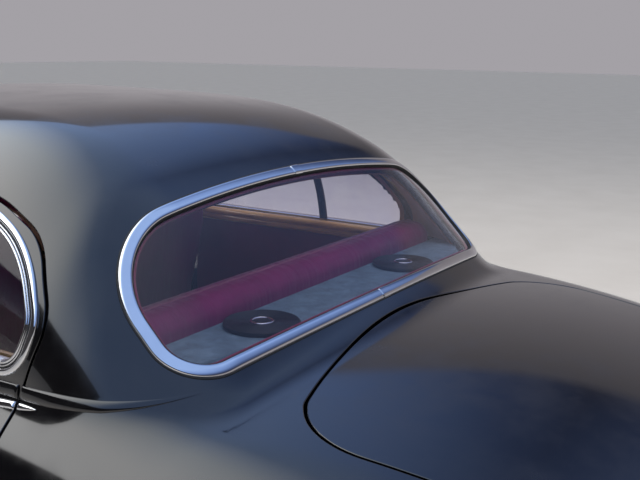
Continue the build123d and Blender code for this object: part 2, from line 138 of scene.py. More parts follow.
def distance_to(outline, points):
    """Signed distance in a plane to a closed outline, below zero inside: the nearest of its runs, with the
    sign from how many of them a level ray crosses. Points well away from it get a large distance."""
    result = np.full(len(points), FAR)
    near = np.flatnonzero(np.all((points > outline.min(0) - 60) & (points < outline.max(0) + 60), axis=1))
    start = outline[None]
    run = np.roll(outline, -1, axis=0)[None] - start
    for part in np.array_split(near, len(near) // 4000 + 1):
        there = points[part][:, None] - start
        along = np.clip((there * run).sum(2) / (run**2).sum(2), 0, 1)
        gap = np.sqrt(((there - along[..., None] * run)**2).sum(2).min(1))
        rises = run[..., 1] + (run[..., 1] == 0) * 1e-9
        level = there[..., 1] / rises
        crossed = (level >= 0) & (level < 1) & (there[..., 0] < level * run[..., 0])
        result[part] = np.where(crossed.sum(1) % 2, -gap, gap)
    return result


def topped(foot, half, height, sagitta, radius):
    """Outline even about the middle. Its side lines run from the foot corner (across, up, radius) to the
    ends of one arc across the top. A corner arc touches the side line and the top arc, whose own two
    tangents meet at the apex."""
    side_top = np.array((half, height - sagitta))
    lean = (half - foot[0]) / (foot[1] - side_top[1])
    big = (half**2 + sagitta**2) / (2 * sagitta)
    centre = height - big
    size = np.hypot(1, lean)
    down = np.array((-lean / size, -1 / size))
    start = side_top + np.array((-1 / size, -lean / size)) * radius - np.array((0, centre))
    b = start @ down
    c = start @ start - (big - radius)**2
    middle = start + down * (-b - np.sqrt(b * b - c))
    swing = np.arctan2(middle[0], middle[1])
    touch = np.array((big * np.sin(swing), centre + big * np.cos(swing)))
    apex = touch[1] + touch[0] * np.tan(swing)
    rise = touch[1] - side_top[1] + (touch[0] - side_top[0]) * np.tan(swing)
    across, up = side_top - down * (rise / (-down[1] - down[0] * np.tan(swing)))
    return rounded([foot, (across, up, radius), (0, apex, big), (-across, up, radius),
                    (-foot[0], *foot[1:])])


def inset_corners(corners, amount):
    """Corners of the outline that runs inside another at a fixed distance: each side moves along its
    normal."""
    places = np.array([corner[:2] for corner in corners], float)
    after = np.roll(places, -1, axis=0)
    run = unit(after - places)
    hand = np.sign((places[:, 0] * after[:, 1] - places[:, 1] * after[:, 0]).sum())
    inward = np.stack([-run[:, 1], run[:, 0]], 1) * hand
    rows = []
    for k, corner in enumerate(corners):
        system = np.array([inward[k - 1], inward[k]])
        place = np.linalg.solve(system, (system * places[k]).sum(1) + amount)
        bend = np.sign(np.cross(run[k - 1], run[k]) * hand)
        rows.append((place[0], place[1], corner[2] - bend * amount))
    return rows


# Sections and the skin

def spline(stations, values):
    """Second slopes of the natural cubic spline through a table, from one linear system."""
    gap = np.diff(stations)
    size = len(stations)
    system = np.eye(size)
    right = np.zeros_like(values)
    k = np.arange(1, size - 1)
    system[k, k - 1] = gap[:-1]
    system[k, k] = 2 * (gap[:-1] + gap[1:])
    system[k, k + 1] = gap[1:]
    right[1:-1] = 6 * np.diff(np.diff(values, axis=0) / gap[:, None], axis=0)
    return np.linalg.solve(system, right)


def form(rows, arcs, inset=0.0):
    """Section table of the cabin or the wings, moved inwards by the inset along each section's normal."""
    before = rows[np.maximum(np.arange(len(rows)) - 1, 0), :2]
    after = rows[np.minimum(np.arange(len(rows)) + 1, len(rows) - 1), :2]
    run = unit(after - before)
    stations = rows[:, 0] + inset * run[:, 1]
    values = np.stack([rows[:, 1] - inset * run[:, 0], rows[:, 2] - inset, rows[:, 3] - inset], 1)
    crown, side, base = arcs
    return stations, values, spline(stations, values), crown - inset, side - inset, base


def row_at(shape, y):
    """Height, half width and shoulder radius of a form at stations, from its cubic spline."""
    stations, values, bend = shape[:3]
    y = np.clip(y, stations[0], stations[-1])
    k = np.clip(np.searchsorted(stations, y, side="right") - 1, 0, len(stations) - 2)
    gap = (stations[k + 1] - stations[k])[..., None]
    on = (y - stations[k])[..., None]
    off = gap - on
    curve = (bend[k] * off**3 + bend[k + 1] * on**3) / (6 * gap)
    curve += (values[k] / gap - bend[k] * gap / 6) * off
    curve += (values[k + 1] / gap - bend[k + 1] * gap / 6) * on
    return np.moveaxis(curve, -1, 0)


CABIN = form(CABIN_ROWS, CABIN_ARCS)
WINGS = form(WING_ROWS, WING_ARCS)


def core_height(y):
    """Height of the line that the sections are measured from."""
    return np.clip(CORE_SHARE * row_at(WINGS, y)[0], CORE_LOW, CORE_HIGH)


def reach(shape, y, angle):
    """Distance from the core line to a form, at an angle from upright: a ray from the core meets the crown,
    shoulder or side circle, or the upright foot below it."""
    top, half, shoulder = row_at(shape, y)
    crown, side, base = shape[3:]
    core = core_height(y)
    crown_z = top - crown
    side_x = half - side
    span = np.hypot(side_x, base - crown_z)
    ux, uz = side_x / span, (base - crown_z) / span
    along = ((crown - shoulder)**2 - (side - shoulder)**2 + span**2) / (2 * span)
    across = np.sqrt(np.maximum((crown - shoulder)**2 - along**2, 0))
    bend_x = ux * along + uz * across
    bend_z = crown_z + uz * along - ux * across
    high = crown / (crown - shoulder)
    low = side / (side - shoulder)
    high_angle = np.arctan2(bend_x * high, crown_z + (bend_z - crown_z) * high - core)
    low_angle = np.arctan2(side_x + (bend_x - side_x) * low, base + (bend_z - base) * low - core)
    base_angle = np.arctan2(half, base - core)
    dx, dz = np.sin(angle), np.cos(angle)

    def circle(x, z, radius):
        on = dx * x + dz * (z - core)
        return on + np.sqrt(np.maximum(on**2 - x**2 - (z - core)**2 + radius**2, 0))

    upright = half / np.maximum(dx, 0.05)
    side_reach = np.where(angle < base_angle, circle(side_x, base, side), upright)
    bend_reach = np.where(angle < low_angle, circle(bend_x, bend_z, shoulder), side_reach)
    return np.where(angle < high_angle, circle(0, crown_z, crown), bend_reach)


def skin_reach(y, angle):
    """The painted skin: the greater of cabin and wings, with a hollow cubic fairing where they are close."""
    angle = np.abs(angle)
    wings = reach(WINGS, y, angle)
    cabin = np.where(y > CABIN_ROWS[0, 0], reach(CABIN, y, angle), 0)
    close = np.maximum(1 - np.abs(cabin - wings) / FAIRING, 0)
    return np.maximum(cabin, wings) + close**3 * FAIRING / 6


def polar(shape):
    """Surface of a form on the grid of station and angle. Stations beyond the tail end go on over its
    flat end face, where the last section shrinks to the middle of its foot."""
    measure = skin_reach if shape is None else (lambda y, angle: reach(shape, y, np.abs(angle)))

    def surface(params):
        y, angle = params[:, 0], params[:, 1]

        def place(y, angle):
            size = measure(y, angle)
            share = np.clip(1 + (y - TAIL_END) / TAIL_FACE, 0, 1)
            height = core_height(y) + size * np.cos(angle) - EDGE
            return np.stack([size * np.sin(angle) * share, np.maximum(y, TAIL_END), EDGE + height * share], 1)

        across = place(y, angle + 1e-4) - place(y, angle - 1e-4)
        along = place(np.minimum(y + 0.3, FRONT_CUT), angle) - place(y - 0.3, angle)
        return place(y, angle), unit(np.cross(across, along))

    return surface


def outside(shape, points):
    """How far points are beyond a form, measured from the core line; below zero inside it."""
    core = core_height(points[:, 1])
    angle = np.abs(np.arctan2(points[:, 0], points[:, 2] - core))
    size = np.hypot(points[:, 0], points[:, 2] - core)
    measure = skin_reach(points[:, 1], angle) if shape is None else reach(shape, points[:, 1], angle)
    return size - measure


def cast(shape, points, direction, low, high):
    """Where rays from the points meet a form: the span that holds the crossing is halved again and again.
    Returns the places and the form's outward direction there, the slope of the distance beyond it."""
    near = np.full(len(points), float(low))
    far = np.full(len(points), float(high))
    for _ in range(32):
        middle = (near + far) / 2
        beyond = outside(shape, points + middle[:, None] * direction) > 0
        near = np.where(beyond, middle, near)
        far = np.where(beyond, far, middle)
    places = points + near[:, None] * direction
    slope = [outside(shape, places + step) - outside(shape, places - step) for step in 0.3 * np.eye(3)]
    return places, unit(np.stack(slope, 1))


def on_window(shape):
    """Surface of a form on the grid of the window plane."""
    def surface(params):
        flat = np.array((0, 0, WINDOW_FOOT)) + params[:, :1] * WINDOW_ACROSS + params[:, 1:] * WINDOW_UP
        return cast(shape, flat, -WINDOW_OUT, -60, 260)
    return surface


def on_side(shape):
    """Surface of a form's right side on the grid of the side view, station and height."""
    def surface(params):
        flat = np.stack([np.full(len(params), 900.0), params[:, 0], params[:, 1]], 1)
        return cast(shape, flat, np.array((-1.0, 0, 0)), 0, 620)
    return surface


# Meshes

def trimmed(params, triangles, distance):
    """Keeps the part of a triangle grid where the distance is below zero. A triangle that the zero line
    crosses is cut there; on each edge the line is where the distance, taken as straight, comes to zero."""
    inside = distance < 0
    held = inside[triangles].sum(1)
    parts = [triangles[held == 3]]
    crossed = triangles[(held == 1) | (held == 2)]
    cut = np.concatenate([crossed[:, pair] for pair in ([0, 1], [1, 2], [2, 0])])
    cut = np.sort(cut[inside[cut[:, 0]] != inside[cut[:, 1]]], axis=1)
    key, first = np.unique(cut[:, 0] * len(params) + cut[:, 1], return_index=True)
    ends = cut[first]
    share = distance[ends[:, 0]] / (distance[ends[:, 0]] - distance[ends[:, 1]])
    fresh = params[ends[:, 0]] + share[:, None] * (params[ends[:, 1]] - params[ends[:, 0]])

    def between(a, b):
        pair = np.sort(np.stack([a, b], 1), axis=1)
        return len(params) + np.searchsorted(key, pair[:, 0] * len(params) + pair[:, 1])

    for wanted in (1, 2):
        group = triangles[held == wanted]
        odd = inside[group] if wanted == 1 else ~inside[group]
        turn = (np.argmax(odd, axis=1)[:, None] + np.arange(3)) % 3
        a, b, c = np.take_along_axis(group, turn, 1).T
        ab, ca = between(a, b), between(c, a)
        if wanted == 1:
            parts.append(np.stack([a, ab, ca], 1))
        else:
            parts += [np.stack([ab, b, c], 1), np.stack([ab, c, ca], 1)]
    triangles = np.concatenate(parts)
    used, triangles = np.unique(triangles, return_inverse=True)
    return np.concatenate([params, fresh])[used], triangles.reshape(-1, 3)


def grid(first, second, turned=False):
    """Triangles over a grid of two parameters, facing against the first cross the second, or turned."""
    params = np.stack(np.meshgrid(first, second, indexing="ij"), -1).reshape(-1, 2)
    place = np.arange(len(params)).reshape(len(first), len(second))
    a, b, c, d = (part.ravel() for part in (place[:-1, :-1], place[1:, :-1], place[1:, 1:], place[:-1, 1:]))
    triangles = np.concatenate([np.stack([a, c, b], 1), np.stack([a, d, c], 1)])
    return params, triangles[:, ::-1] if turned else triangles


def rolled(radius, step=0.0, flange=0.0):
    """Edge of a panel, as runs between (out, down) with the lean of the surface at both ends: a quarter
    turn of the radius and an upright side. With a step, a flange sits on a narrower core."""
    lean = np.linspace(0, np.pi / 2, 4)
    turn = [(radius * np.sin(a) - radius, radius * (1 - np.cos(a)), a) for a in lean]
    runs = [(turn[k], turn[k + 1]) for k in range(3)]
    if step:
        runs += [((0, radius, lean[-1]), (0, flange, lean[-1])),
                 ((0, flange, np.pi), (-step, flange, np.pi)),
                 ((-step, flange, lean[-1]), (-step, None, lean[-1]))]
    else:
        runs.append(((0, radius, lean[-1]), (0, None, lean[-1])))
    return runs


def panel(surface, params, triangles, thickness, edge):
    """Closed panel on a surface: its face, a turned edge all round and its back. The rim leaves the face
    square to each border run, in the surface. Returns vertices, faces and the normal of each face corner."""
    points, normals = surface(params)
    depth = thickness(points, normals) if callable(thickness) else np.full(len(points), float(thickness))
    pairs = np.concatenate([triangles[:, [0, 1]], triangles[:, [1, 2]], triangles[:, [2, 0]]])
    key = np.sort(pairs, axis=1) @ np.array([len(points), 1])
    _, first, uses = np.unique(key, return_index=True, return_counts=True)
    rim = pairs[first[uses == 1]]
    run = points[rim[:, 1]] - points[rim[:, 0]]
    out = np.zeros_like(points)
    for end in (0, 1):
        np.add.at(out, rim[:, end], np.cross(run, normals[rim[:, end]]))
    border = np.unique(rim)
    out = unit(out[border])
    up = normals[border]
    lift = -edge[0][0][0]
    back = points - normals * depth[:, None]
    back[border] += out * (edge[-1][1][0] + lift)
    place = np.zeros(len(points), int)
    place[border] = np.arange(len(border))
    rings = [border]
    vertices = [points]
    total = len(points)
    for _, (shift, drop, _) in edge[:-1]:
        vertices.append(points[border] + out * (shift + lift) - up * drop)
        rings.append(total + np.arange(len(border)))
        total += len(border)
    rings.append(total + border)
    vertices.append(back)
    faces = [triangles]
    corners = [normals[triangles].reshape(-1, 3)]
    a, b = place[rim[:, 0]], place[rim[:, 1]]
    for k, ((_, _, lean0), (_, _, lean1)) in enumerate(edge):
        faces.append(np.stack([rings[k][b], rings[k][a], rings[k + 1][a], rings[k + 1][b]], 1))
        start = up * np.cos(lean0) + out * np.sin(lean0)
        end = up * np.cos(lean1) + out * np.sin(lean1)
        corners.append(np.stack([start[b], start[a], end[a], end[b]], 1).reshape(-1, 3))
    faces.append(total + triangles[:, ::-1])
    corners.append(-normals[triangles[:, ::-1]].reshape(-1, 3))
    faces = [row for group in faces for row in group.tolist()]
    return np.concatenate(vertices), faces, np.concatenate(corners)


def other_side(shape):
    """The same mesh on the other side of the car, its faces turned back to point outwards."""
    vertices, faces, corners = shape
    vertices = vertices * (-1, 1, 1)
    if corners is not None:
        ends = np.cumsum([len(face) for face in faces])
        order = [np.arange(end - 1, end - len(face) - 1, -1) for face, end in zip(faces, ends)]
        corners = corners[np.concatenate(order)] * (-1, 1, 1)
    return vertices, [face[::-1] for face in faces], corners


def joined(*shapes):
    """Several meshes as one."""
    vertices, faces, start = [], [], 0
    for shape in shapes:
        vertices.append(shape[0])
        faces += [[index + start for index in face] for face in shape[1]]
        start += len(shape[0])
    return np.concatenate(vertices), faces, None


def sweep(path, up, profile, closed=True, caps=True):
    """Closed profile (across, out) carried along a path: across is square to the path and to the given
    upward direction. An open path gets flat ends."""
    ahead = np.roll(path, -1, axis=0) - np.roll(path, 1, axis=0) if closed else np.gradient(path, axis=0)
    side = unit(np.cross(ahead, up))
    rise = unit(np.cross(side, ahead))
    profile = np.asarray(profile, float)
    if profile.ndim == 2:
        profile = np.broadcast_to(profile, (len(path),) + profile.shape)
    rings = path[:, None] + side[:, None] * profile[..., :1] + rise[:, None] * profile[..., 1:]
    return skinned(rings, closed, caps)


def skinned(rings, closed, caps=True):
    """Mesh over rings of points, each ring closed; an open row of rings gets flat ends."""
    count, size = rings.shape[:2]
    place = np.arange(count * size).reshape(count, size)
    rows = count if closed else count - 1
    i = np.arange(rows)
    nxt = (i + 1) % count
    beside = np.roll(place, -1, axis=1)
    faces = np.stack([place[i], place[nxt], beside[nxt], beside[i]], -1).reshape(-1, 4).tolist()
    if not closed and caps:
        faces += [place[0].tolist(), place[-1][::-1].tolist()]
    return rings.reshape(-1, 3), faces, None


def oval(half, rise, drop, count=14, power=0.75):
    """Crowned profile: a flattened half oval above a straight-sided foot."""
    angle = np.linspace(0, np.pi, count)
    x = half * np.sign(np.cos(angle)) * np.abs(np.cos(angle))**power
    z = rise * np.sin(angle)**power
    return np.concatenate([np.stack([x, z], 1), [(-half, -drop), (half, -drop)]])


def ring(radius, count=12):
    """Round profile."""
    angle = np.arange(count) * 2 * np.pi / count
    return radius * np.stack([np.cos(angle), np.sin(angle)], 1)


def turned(rows, centre, axis=(0, 0, 1), count=64):
    """Profile (radius, height) turned about an axis through the centre; its end points are on the axis."""
    rows = np.array(rows, float)
    z = np.array(axis, float)
    x = np.cross(z, (0, 1, 0) if abs(z[1]) < 0.9 else (1, 0, 0))
    x /= np.linalg.norm(x)
    y = np.cross(z, x)
    angle = np.arange(count) * 2 * np.pi / count
    spoke = np.cos(angle)[:, None] * x + np.sin(angle)[:, None] * y
    rings = rows[1:-1, 0, None, None] * spoke[None] + rows[1:-1, 1, None, None] * z + np.array(centre)
    vertices, faces, _ = skinned(rings, False, False)
    ends = np.array([rows[0, 1] * z, rows[-1, 1] * z]) + np.array(centre)
    size = len(vertices)
    last = size - count
    steps = [(k, (k + 1) % count) for k in range(count)]
    faces += [[size, b, a] for a, b in steps] + [[size + 1, last + a, last + b] for a, b in steps]
    return np.concatenate([vertices, ends]), faces, None


def piece(name, shape, slot, stands_for=(), body="body_section", finish=None, sharp=35):
    """Object from a mesh in millimetres, pointing outwards, on a body, with its own or its slot's finish."""
    vertices, faces, corners = shape
    mesh = bpy.data.meshes.new(name)
    mesh.from_pydata((vertices * MM).tolist(), [], faces)
    mesh.polygons.foreach_set("use_smooth", np.ones(len(faces), bool))
    if corners is None:
        tris = [(face[0], face[k], face[k + 1]) for face in faces for k in range(1, len(face) - 1)]
        a, b, c = vertices[np.array(tris)].transpose(1, 0, 2)
        if np.einsum("ij,ij->", a, np.cross(b, c)) < 0:
            mesh.flip_normals()
        mesh.set_sharp_from_angle(angle=np.radians(sharp))
    else:
        mesh.normals_split_custom_set(corners.tolist())
    mesh.materials.append(finish or FINISH_OF_SLOT[slot])
    thing = bpy.data.objects.new(name, mesh)
    bpy.context.scene.collection.objects.link(thing)
    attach(thing, body)
    if stands_for:
        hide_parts(*stands_for)
    return thing


def both_sides(name, shape, slot, stands_for=(), on_door=True, finish=None, sharp=35):
    """The same piece on the right and the left of the car, on the doors or on the body."""
    for side, own in (("right", shape), ("left", other_side(shape))):
        piece(f"{name}_{side}", own, slot, [f"{node}_{side}" for node in stands_for],
              f"{side}_door" if on_door else "body_section", finish, sharp)


# Finishes

class Nodes:
    """Small builder for a node tree: nodes are added by type and linked by socket name or number."""

    def __init__(self, tree):
        self.nodes, self.links = tree.nodes, tree.links

    def node(self, kind, links=(), **settings):
        made = self.nodes.new("ShaderNode" + kind)
        for key, value in settings.items():
            if hasattr(made, key):
                setattr(made, key, value)
            else:
                made.inputs[key.replace("_", " ")].default_value = value
        for key, value in dict(links).items():
            self.links.new(value, made.inputs[key])
        return made

    def mapped(self, value, low, high, low_out, high_out):
        made = self.node("MapRange", {"Value": value})
        for key, number in zip(("From Min", "From Max", "To Min", "To Max"), (low, high, low_out, high_out)):
            made.inputs[key].default_value = number
        return made.outputs[0]

    def ramp(self, value, *stops):
        made = self.node("ValToRGB", {"Fac": value})
        while len(made.color_ramp.elements) < len(stops):
            made.color_ramp.elements.new(0.5)
        for element, (place, colour) in zip(made.color_ramp.elements, stops):
            element.position = place
            element.color = (*colour, 1)
        return made.outputs["Color"]

    def math(self, operation, a, b=0.0):
        made = self.node("Math", operation=operation)
        for socket, value in zip(made.inputs, (a, b)):
            if isinstance(value, (int, float)):
                socket.default_value = value
            else:
                self.links.new(value, socket)
        return made.outputs[0]

    def blend(self, a, share_a, b, share_b):
        """Sum of two values, each times its share."""
        return self.math("ADD", self.math("MULTIPLY", a, share_a), self.math("MULTIPLY", b, share_b))


class Finish(Nodes):
    """Material on the Principled shader, with its patterns placed by Object coordinates."""

    def __init__(self, name, **sockets):
        self.material = bpy.data.materials.new(name)
        self.material.use_nodes = True
        super().__init__(self.material.node_tree)
        self.shader = self.nodes["Principled BSDF"]
        self.place = self.node("TexCoord").outputs["Object"]
        for key, value in sockets.items():
            self.shader.inputs[key.replace("_", " ")].default_value = value

    def stretched(self, scale):
        return self.node("Mapping", {"Vector": self.place}, Scale=scale).outputs[0]

    def noise(self, scale, detail=3.0, rough=0.5, place=None):
        links = {"Vector": place or self.place}
        return self.node("TexNoise", links, Scale=scale, Detail=detail, Roughness=rough).outputs["Fac"]

    def bump(self, height, depth, strength=1.0):
        made = self.node("Bump", {"Height": height}, Distance=depth, Strength=strength)
        self.links.new(made.outputs[0], self.shader.inputs["Normal"])

    def shade(self, value, *stops):
        """Base colour that follows a value through a ramp."""
        self.links.new(self.ramp(value, *stops), self.shader.inputs["Base Color"])

    def worn(self, value, *span):
        """Roughness that follows a value: its low and high, and the roughness at each."""
        self.links.new(self.mapped(value, *span), self.shader.inputs["Roughness"])


def paint(name):
    """Gloss black: fine dust dulls it and lightens it a little in soft patches."""
    f = Finish(name, Coat_Weight=1.0, Coat_Roughness=0.03, Specular_IOR_Level=0.5)
    dust = f.mapped(f.noise(9, 5, 0.6), 0.42, 0.75, 0, 1)
    specks = f.mapped(f.noise(900, 2, 0.7), 0.62, 0.78, 0, 1)
    f.shade(f.blend(dust, 0.5, specks, 0.4), (0, (0.002, 0.002, 0.003)), (1, (0.011, 0.011, 0.013)))
    f.worn(dust, 0, 1, 0.12, 0.30)
    return f.material


def bright(name):
    """Chrome plate with a faint haze."""
    f = Finish(name, Metallic=1.0)
    haze = f.noise(14, 4, 0.6)
    f.shade(haze, (0.3, (0.80, 0.81, 0.83)), (0.8, (0.90, 0.90, 0.91)))
    f.worn(haze, 0.3, 0.8, 0.04, 0.10)
    return f.material


def rubber(name):
    """Dull black rubber with a fine grain."""
    f = Finish(name)
    grain = f.noise(240, 3, 0.6)
    f.shade(grain, (0.3, (0.012, 0.012, 0.013)), (0.8, (0.035, 0.035, 0.036)))
    f.worn(grain, 0.2, 0.8, 0.5, 0.75)
    f.bump(grain, 0.0003, 0.4)
    return f.material


def hide(name, deep, pale):
    """Leather: pebbled grain in cells, soft wear, and fine creases gathered across the car's width."""
    f = Finish(name, Sheen_Weight=0.12, Sheen_Roughness=0.4)
    wear = f.noise(7, 4, 0.6)
    cells = f.node("TexVoronoi", {"Vector": f.place}, feature="F1", Scale=572).outputs["Distance"]
    f.shade(f.blend(wear, 0.8, cells, 0.25), (0.25, deep), (0.85, pale))
    f.worn(wear, 0.2, 0.8, 0.38, 0.55)
    creases = f.noise(1.3, 5, 0.6, f.stretched((60, 7, 7)))
    f.bump(f.blend(cells, 0.25, creases, 2.2), 0.0014, 0.7)
    return f.material


def pile(name, colours):
    """Carpet: short tufts in two or three yarn shades, mottled in patches."""
    f = Finish(name, Sheen_Weight=0.3, Sheen_Roughness=0.6)
    tufts = f.noise(420, 4, 0.75)
    patch = f.noise(26, 5, 0.7)
    stops = np.linspace(0.36, 0.68, len(colours)).tolist()
    f.shade(f.blend(tufts, 0.55, patch, 0.5), *zip(stops, colours))
    f.worn(tufts, 0.2, 0.8, 0.8, 1.0)
    f.bump(tufts, 0.0025, 0.9)
    return f.material


def cloth(name, deep, pale):
    """Napped roof cloth: two fine crossed threads and slow shade changes."""
    f = Finish(name, Sheen_Weight=0.35, Sheen_Roughness=0.5)
    waves = [f.node("TexWave", {"Vector": f.place}, bands_direction=way, Scale=220) for way in "XY"]
    threads = f.math("MULTIPLY", *(wave.outputs["Fac"] for wave in waves))
    f.shade(f.noise(11, 5, 0.6), (0.3, deep), (0.75, pale))
    f.worn(threads, 0, 1, 0.75, 0.95)
    f.bump(f.math("ADD", threads, f.noise(500, 2, 0.6)), 0.0006, 0.5)
    return f.material


def timber(name):
    """Lacquered golden wood: growth rings stretched along the rail, with fine pores."""
    f = Finish(name, Coat_Weight=0.8, Coat_Roughness=0.06)
    grain = f.node("TexNoise", {"Vector": f.stretched((26, 1.6, 26))}, Scale=3.5, Detail=8, Roughness=0.62,
                   Distortion=0.6).outputs["Fac"]
    pores = f.noise(60, 3, 0.7, f.stretched((30, 2, 30)))
    f.shade(f.blend(grain, 0.8, pores, 0.2), (0.3, (0.38, 0.17, 0.03)), (0.5, (0.80, 0.46, 0.12)),
            (0.72, (0.94, 0.68, 0.27)))
    f.worn(grain, 0.2, 0.8, 0.25, 0.4)
    return f.material


def metal(name, deep, pale, rough):
    """Plain metal that streaks between two shades."""
    f = Finish(name, Metallic=1.0)
    streaks = f.noise(40, 4, 0.6, f.stretched((1, 8, 1)))
    f.shade(streaks, (0.3, deep), (0.75, pale))
    f.worn(streaks, 0.2, 0.8, *rough)
    return f.material


def coated(name, deep, pale, rough, depth=0.0004):
    """Dull underbody coat or grille plastic: a fine orange peel over two close shades."""
    f = Finish(name)
    peel = f.noise(180, 3, 0.6)
    f.shade(f.noise(8, 5, 0.6), (0.3, deep), (0.75, pale))
    f.worn(peel, 0.2, 0.8, *rough)
    f.bump(peel, depth, 0.5)
    return f.material


def clear(name, tint, haze):
    """Window glass: rays from the lamps pass straight through it; smears roughen it a little."""
    f = Finish(name, Transmission_Weight=1.0, IOR=1.45)
    smear = f.noise(9, 5, 0.65, f.stretched((1, 2.5, 1)))
    f.shade(smear, (0.35, tint), (0.8, haze))
    f.worn(smear, 0.45, 0.8, 0.0, 0.05)
    through = f.node("BsdfTransparent", Color=(*tint, 1))
    shadow = f.node("LightPath").outputs["Is Shadow Ray"]
    mix = f.node("MixShader", {0: shadow, 1: f.shader.outputs[0], 2: through.outputs[0]})
    f.links.new(mix.outputs[0], f.nodes["Material Output"].inputs["Surface"])
    return f.material


# Dark brown metal on the divider bar's inner side is painted shade: it stands for the shade and brownish
# reflections on the chrome bar
bar_shade_metal = metal("bar_painted_shade_metal", (0.075, 0.052, 0.036), (0.16, 0.11, 0.075), (0.25, 0.4))
# The piping cords are real seams; their leather is paler than the pads as a painted highlight on the seats'
# top edges
piping_highlight_leather = hide("piping_highlight_leather", (0.20, 0.05, 0.09), (0.40, 0.14, 0.20))
side_leather = hide("side_leather", (0.16, 0.010, 0.035), (0.30, 0.022, 0.070))
FINISH_OF_SLOT = {
    "paint": paint("black_paint"),
    "chrome": bright("chrome_plate"),
    "glass": clear("window_glass", (0.86, 0.84, 0.93), (0.93, 0.91, 0.96)),
    "rubber": rubber("glazing_rubber"),
    "leather": hide("wine_leather", (0.12, 0.004, 0.050), (0.27, 0.012, 0.115)),
    "side_trim": side_leather,
    "wood": timber("golden_wood"),
    "shelf_carpet": pile("shelf_carpet", [(0.02, 0.05, 0.065), (0.07, 0.15, 0.19), (0.18, 0.31, 0.37)]),
    "carpet": pile("floor_carpet", [(0.05, 0.008, 0.014), (0.12, 0.02, 0.035)]),
    "headlining": cloth("roof_cloth", (0.52, 0.22, 0.135), (0.72, 0.40, 0.27)),
    "underbody": coated("under_coat", (0.012, 0.012, 0.014), (0.03, 0.03, 0.033), (0.5, 0.8)),
    "speaker": coated("grille_black", (0.010, 0.010, 0.011), (0.025, 0.025, 0.027), (0.4, 0.6)),
    "lamp": coated("lamp_red", (0.30, 0.006, 0.006), (0.46, 0.012, 0.012), (0.12, 0.25), 0.0001),
    "steel": metal("hinge_steel", (0.28, 0.28, 0.29), (0.42, 0.42, 0.43), (0.3, 0.5)),
}
for part in frame["record"]["subparts"]:
    solid = frame["nodes"][part["node"]]
    solid.data.materials.clear()
    solid.data.materials.append(FINISH_OF_SLOT[part["material_slot"]])

# Outlines of the openings. The side window's upper rear corner is rounder than the door's
window_line = topped((600, 1, 86), 600, 336, 49, 180)
lid_line = topped((470, -1165, 105), 572, -40, 112, 160)
door_line = rounded(DOOR_ROWS)
light_rows = [row for row in inset_corners(DOOR_ROWS, LIGHT_INSET) if row[1] > RAIL_HEIGHT]
light_rows = [(y, z, radius + LIGHT_SOFTER if 800 < z < 860 else radius) for y, z, radius in light_rows]
light_line = rounded([(1062, RAIL_HEIGHT, 50), (315, RAIL_HEIGHT, 48)] + light_rows)


def door_distance(points):
    """Distance beyond the door's shut line, whose edges lean with the distance from the middle plane."""
    return distance_to(door_line, points[:, 1:]) - EDGE_SLOPE * (np.abs(points[:, 0]) - EDGE_LEVEL)


def window_distance(points):
    """Distance beyond the middle line of the window's surround, for points near the window plane."""
    flat = np.stack([points[:, 0], (points - (0, 0, WINDOW_FOOT)) @ WINDOW_UP], 1)
    off = (points - (0, 0, WINDOW_FOOT)) @ WINDOW_OUT
    return np.where(np.abs(off + OPENING_DEPTH) < OPENING_REACH, distance_to(window_line, flat), FAR)


def lid_distance(points):
    """Distance beyond the lid's outline, whose tail edge leans with the height."""
    lean = np.where(points[:, 1] < LID_TAIL_FROM, LID_TAIL_SLOPE * (points[:, 2] - LID_TAIL_LEVEL), 0)
    flat = np.stack([points[:, 0], points[:, 1] + lean], 1)
    on_lid = (points[:, 2] > LID_LOW) & (points[:, 1] > TAIL_END + 1)
    return np.where(on_lid, distance_to(lid_line, flat), FAR)


def wheel_distance(points):
    """Distance beyond the wheel arch's circle in side view."""
    return np.hypot(points[:, 1] - WHEEL[0], points[:, 2] - WHEEL[1]) - ARCH_RADIUS


# Stations of the skin, closer where it falls away and where the cabin starts, and its angles from upright
ROWS, COLUMNS = 228, 258
fine = np.linspace(TAIL_END, FRONT_EDGE, 2000)
fall = np.abs(np.gradient(np.maximum(row_at(CABIN, fine)[0] * (fine > -40), row_at(WINGS, fine)[0]), fine))
pace = np.cumsum(np.sqrt(1 + np.minimum(fall, 4)**2) + 2.0 * (np.abs(fine + 10) < 90))
stations = np.interp(np.linspace(pace[0], pace[-1], ROWS), pace, fine)
end_face = TAIL_END - TAIL_FACE * np.array((0.99, 0.9, 0.75, 0.6, 0.45, 0.3, 0.15, 0.05, 0.015, 0.005))
stations = np.concatenate([end_face, [TAIL_END, TAIL_END + 1], stations[1:]])
skin_params, skin_triangles = grid(stations, np.linspace(-1, 1, COLUMNS))
foot_angle = np.arctan2(row_at(WINGS, skin_params[:, 0])[1], EDGE - core_height(skin_params[:, 0]))
skin_params[:, 1] *= foot_angle
skin = polar(None)


def cut(*distances, params=skin_params, triangles=skin_triangles, surface=skin):
    """Trims a grid by one distance after another, where it goes above zero at the grid's points."""
    for distance in distances:
        params, triangles = trimmed(params, triangles, distance(surface(params)[0]))
    return params, triangles


def wall_depth(points, normals):
    """Thickness of the wall: 38 mm, and below the waist out to the cabin's flat inner sides."""
    side = np.abs(points[:, 0])
    filled = (points[:, 2] < WAIST) & (points[:, 1] > ROOM_REAR) & (side > ROOM_HALF + 4)
    return np.where(filled, (side - ROOM_HALF) / np.maximum(np.abs(normals[:, 0]), 0.45), WALL)


def front_post(points):
    """Distance into the zone of the recessed centre posts, ahead of the door and below the roof."""
    return np.minimum(points[:, 1] - POST_REAR, POST_TOP - points[:, 2])


def sunk(surface, depth):
    """A surface moved inwards along its normal."""
    def moved(params):
        points, normals = surface(params)
        return points - depth * normals, normals
    return moved


def on_right(distance):
    """A distance that keeps only points on the right side."""
    return lambda points: np.where(points[:, 0] > 0, distance(points), FAR) + EDGE


